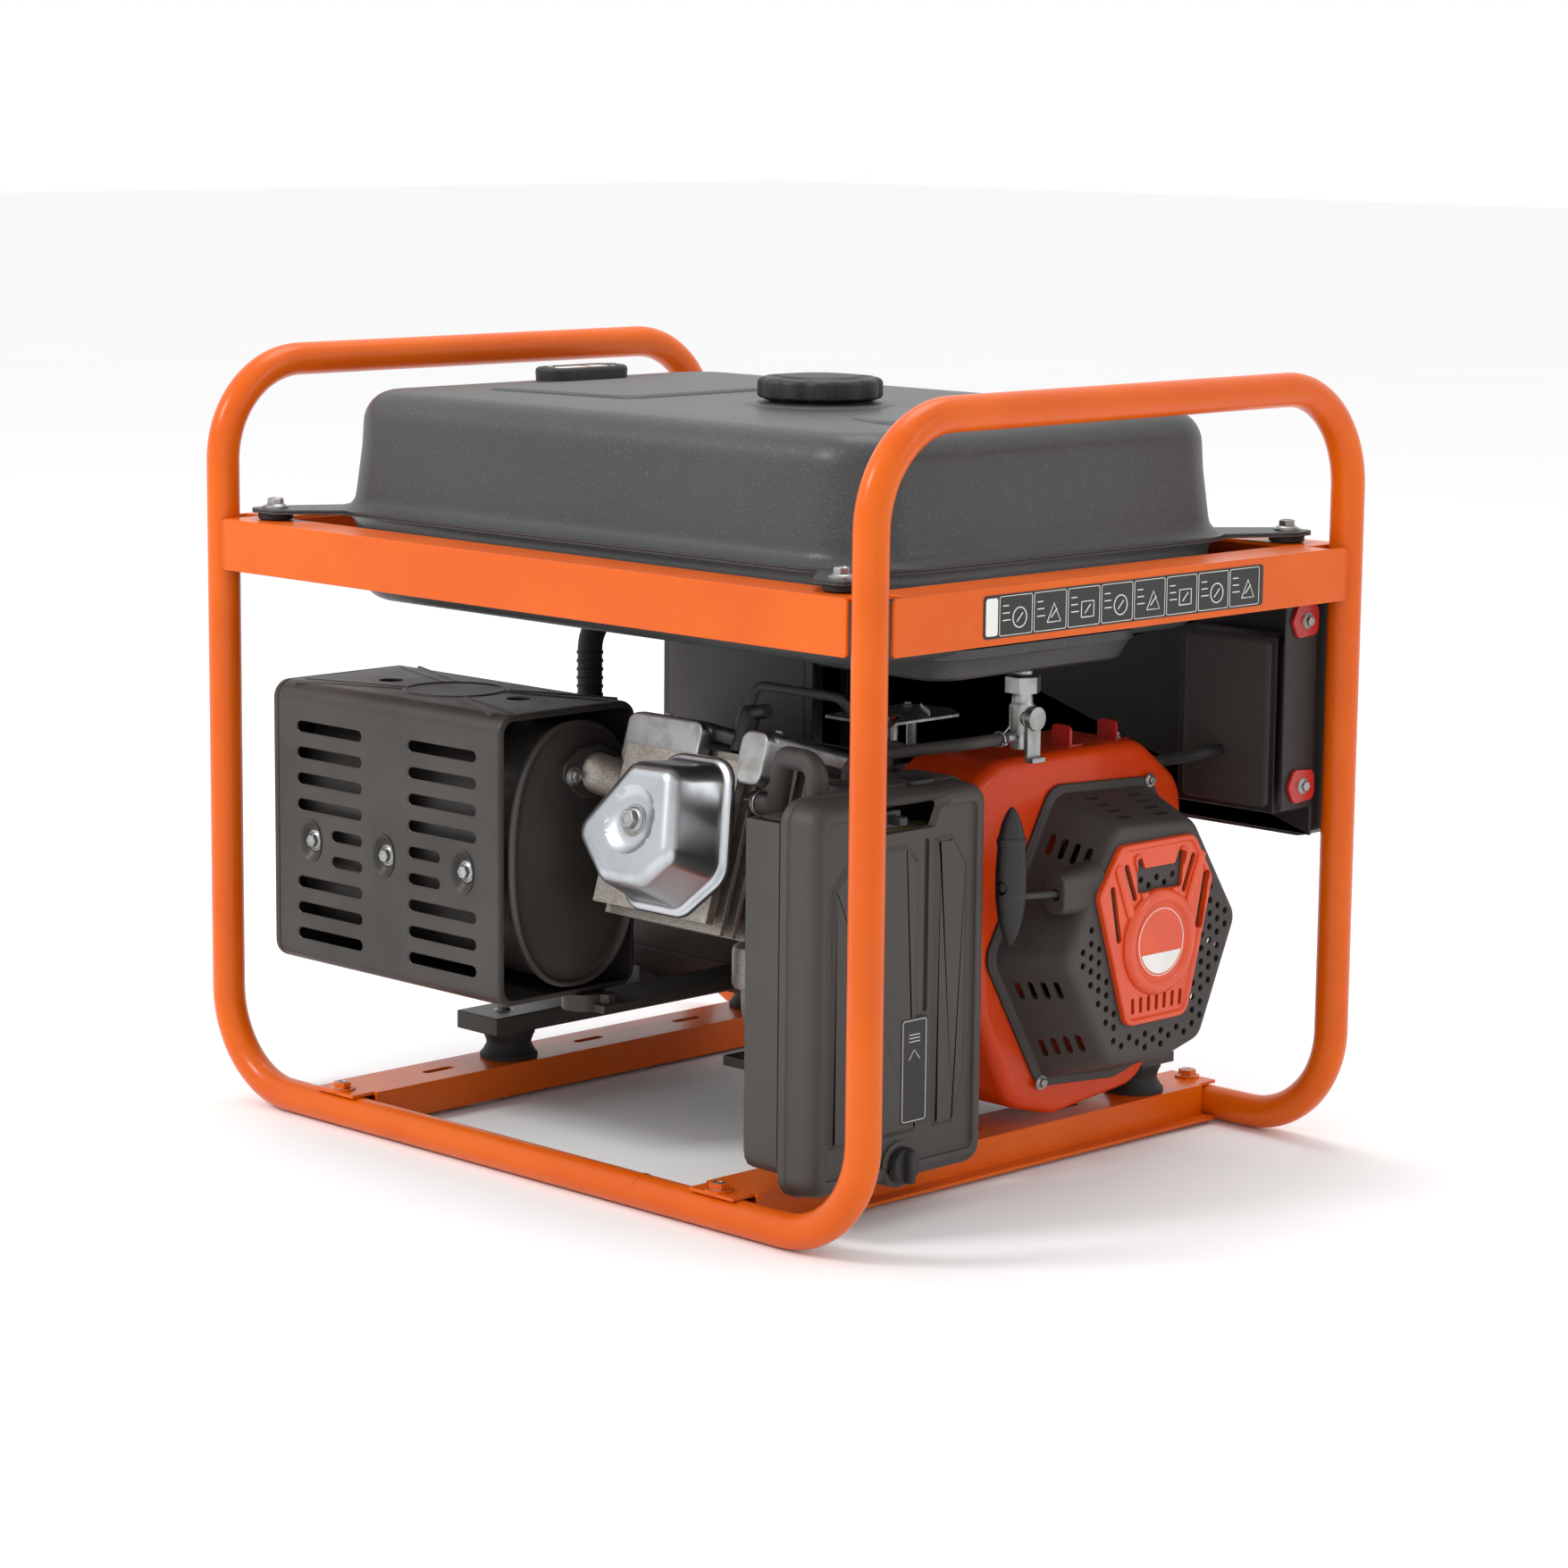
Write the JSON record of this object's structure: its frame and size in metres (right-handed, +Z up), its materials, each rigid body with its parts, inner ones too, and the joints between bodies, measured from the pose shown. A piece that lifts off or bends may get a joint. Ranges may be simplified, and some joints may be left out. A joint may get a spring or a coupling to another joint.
{
  "type": "portable generator",
  "caption": "Open-frame portable petrol generator: bent-tube frame, fuel tank on top, engine with muffler, air cleaner and recoil starter, alternator and control panel.",
  "frame": {"origin": "on the ground under the middle of the frame", "axes": "+X along the crankshaft to the recoil starter, +Y to the control panel, -Y to the muffler side, +Z up"},
  "size_m": [0.7214, 0.5394, 0.592],
  "materials": {
    "frame_paint": "gloss orange powder coat",
    "tank_paint": "satin charcoal with fine metallic speck",
    "satin_black": "satin heat-resistant black",
    "panel_black": "satin black",
    "black_plastic": "fine texture",
    "grey_plastic": "fine texture",
    "orange_plastic": "smooth",
    "red_plastic": "smooth",
    "white_plastic": "smooth",
    "cast_aluminium": "raw casting",
    "valve_steel": "polished pressed steel",
    "zinc": "zinc plated",
    "steel": "machined",
    "iron": "cast",
    "rubber": "moulded",
    "paper": "pleated paper"
  },
  "bodies": {
    "chassis": {"frame_tube_left": "frame_paint", "frame_tube_right": "frame_paint", "rail_front": "frame_paint", "rail_back": "frame_paint", "rail_left": "frame_paint", "rail_right": "frame_paint", "base_rail_left": "frame_paint", "base_rail_right": "frame_paint", "rubber_mount_front_left": "rubber", "rubber_mount_back_left": "rubber", "rubber_mount_front_right": "rubber", "rubber_mount_back_right": "rubber", "tank_upper": "tank_paint", "tank_lower": "tank_paint", "fuel_gauge": "black_plastic", "fuel_valve_body": "zinc", "crankcase": "cast_aluminium", "piston": "cast_aluminium", "connecting_rod": "cast_aluminium", "cylinder_head": "cast_aluminium", "valve_cover": "valve_steel", "air_guide": "zinc", "spark_plug_cap": "black_plastic", "engine_cradle": "satin_black", "blower_shroud": "frame_paint", "recoil_cover": "grey_plastic", "recoil_badge": "orange_plastic", "starter_rope": "rubber", "alternator_housing": "satin_black", "alternator_end_cover": "satin_black", "alternator_crossbar": "satin_black", "muffler_heat_shield": "satin_black", "muffler_canister": "satin_black", "exhaust_pipe": "steel", "muffler_bracket": "satin_black", "air_cleaner_case": "grey_plastic", "air_cleaner_cover": "grey_plastic", "air_filter": "paper", "carburettor": "cast_aluminium", "fuel_hose": "rubber", "breather_hose": "rubber", "ignition_lead": "rubber", "control_panel": "panel_black", "panel_housing": "black_plastic", "outlet_block": "black_plastic", "alternator_conduit": "rubber"},
    "crank": {"crankshaft": "steel", "flywheel_fan": "iron", "alternator_rotor": "iron"},
    "reel": {"recoil_reel": "black_plastic"},
    "starter_handle": {"starter_handle": "black_plastic"},
    "fuel_cap": {"fuel_cap": "black_plastic"},
    "fuel_valve_lever": {"fuel_valve_lever": "zinc"},
    "choke_lever": {"choke_lever": "black_plastic"},
    "air_cleaner_knob": {"air_cleaner_knob": "black_plastic"},
    "engine_switch": {"engine_switch": "red_plastic"},
    "breaker_rocker": {"breaker_rocker": "black_plastic"},
    "reset_button": {"reset_button": "white_plastic"},
    "oil_dipstick": {"oil_dipstick": "black_plastic"},
    "governor_arm": {"governor_arm": "zinc"}
  },
  "joints": [
    {"name": "crank_spin", "type": "hinge", "parent": "chassis", "child": "crank", "pos_m": [0, 0.1, 0.172], "axis": [1, 0, 0], "continuous": true},
    {"name": "handle_pull", "type": "slide", "parent": "chassis", "child": "starter_handle", "axis": [0.9397, -0.342, 0], "range_m": [0, 0.5], "stiffness_N_per_m": 20},
    {"name": "reel_turn", "type": "hinge", "parent": "chassis", "child": "reel", "pos_m": [0, 0.1, 0.172], "axis": [1, 0, 0], "range_deg": [0, 600]},
    {"name": "fuel_cap_turn", "type": "hinge", "parent": "chassis", "child": "fuel_cap", "pos_m": [0.06, -0.013, 0.56], "axis": [0, 0, 1], "range_deg": [0, 90]},
    {"name": "fuel_valve_turn", "type": "hinge", "parent": "chassis", "child": "fuel_valve_lever", "pos_m": [0.27, -0.002, 0.3457], "axis": [1, 0, 0], "range_deg": [0, 90]},
    {"name": "choke_slide", "type": "slide", "parent": "chassis", "child": "choke_lever", "axis": [0, 1, 0], "range_m": [0, 0.018]},
    {"name": "cleaner_knob_turn", "type": "hinge", "parent": "chassis", "child": "air_cleaner_knob", "pos_m": [0.2908, -0.158, 0.045], "axis": [1, 0, 0], "continuous": true},
    {"name": "switch_rock", "type": "hinge", "parent": "chassis", "child": "engine_switch", "pos_m": [0.25, 0.258, 0.298], "axis": [1, 0, 0], "range_deg": [-16, 0]},
    {"name": "breaker_rock", "type": "hinge", "parent": "chassis", "child": "breaker_rocker", "pos_m": [0.14, 0.258, 0.298], "axis": [1, 0, 0], "range_deg": [-16, 0]},
    {"name": "reset_press", "type": "slide", "parent": "chassis", "child": "reset_button", "axis": [0, 1, 0], "range_m": [-0.003, 0], "stiffness_N_per_m": 300},
    {"name": "dipstick_turn", "type": "hinge", "parent": "chassis", "child": "oil_dipstick", "pos_m": [0.06, -0.05, 0.098], "axis": [0, 1, 0], "continuous": true},
    {"name": "governor_swing", "type": "hinge", "parent": "chassis", "child": "governor_arm", "pos_m": [0.152, -0.034, 0.242], "axis": [1, 0, 0], "range_deg": [0, 20]}
  ],
  "couplings": [
    {"joint": "reel_turn", "follows": "handle_pull", "rad_per_m": 20}
  ]
}
